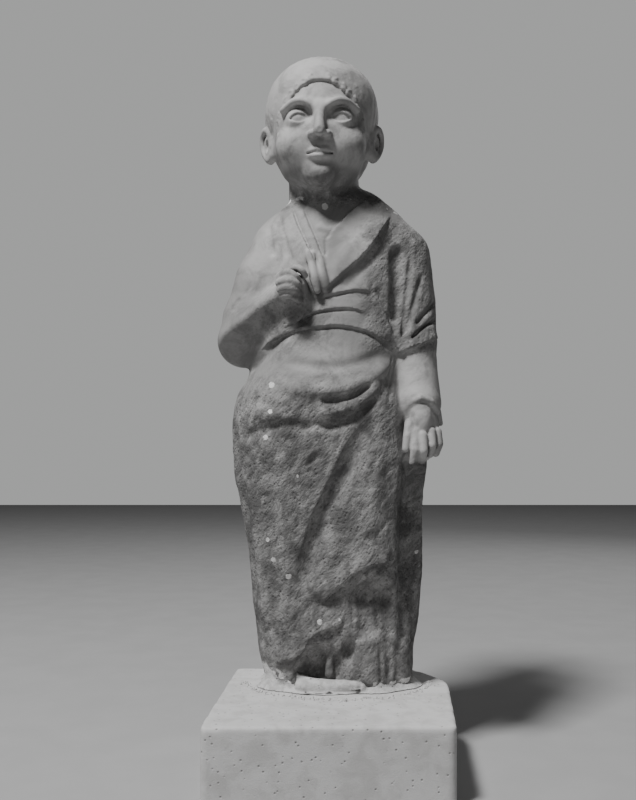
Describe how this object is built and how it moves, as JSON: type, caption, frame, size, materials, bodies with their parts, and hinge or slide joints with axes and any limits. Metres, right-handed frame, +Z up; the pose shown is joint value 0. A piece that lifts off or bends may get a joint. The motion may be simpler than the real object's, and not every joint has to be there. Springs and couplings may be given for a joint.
{
  "type": "stone statue",
  "caption": "Standing draped child in worn stone, one arm wrapped in its cloak and the other hanging, with its broken foot bedded in plaster on a white block.",
  "frame": {"origin": "on the block's flat underside, near its middle", "axes": "+Z up along the statue's height, -Y the way the face looks, +X to the right of someone who faces it"},
  "size_m": [0.217, 0.2104, 0.654],
  "materials": {
    "worn_stone": "worn and weathered, coarse below and smoother above",
    "bed_plaster": "rough, hand laid, stained at its edge",
    "block_plaster": "matt, cast, softly worn edges"
  },
  "bodies": {
    "root": {"figure": "worn_stone", "plaster_bed": "bed_plaster", "plinth_block": "block_plaster"}
  },
  "joints": []
}
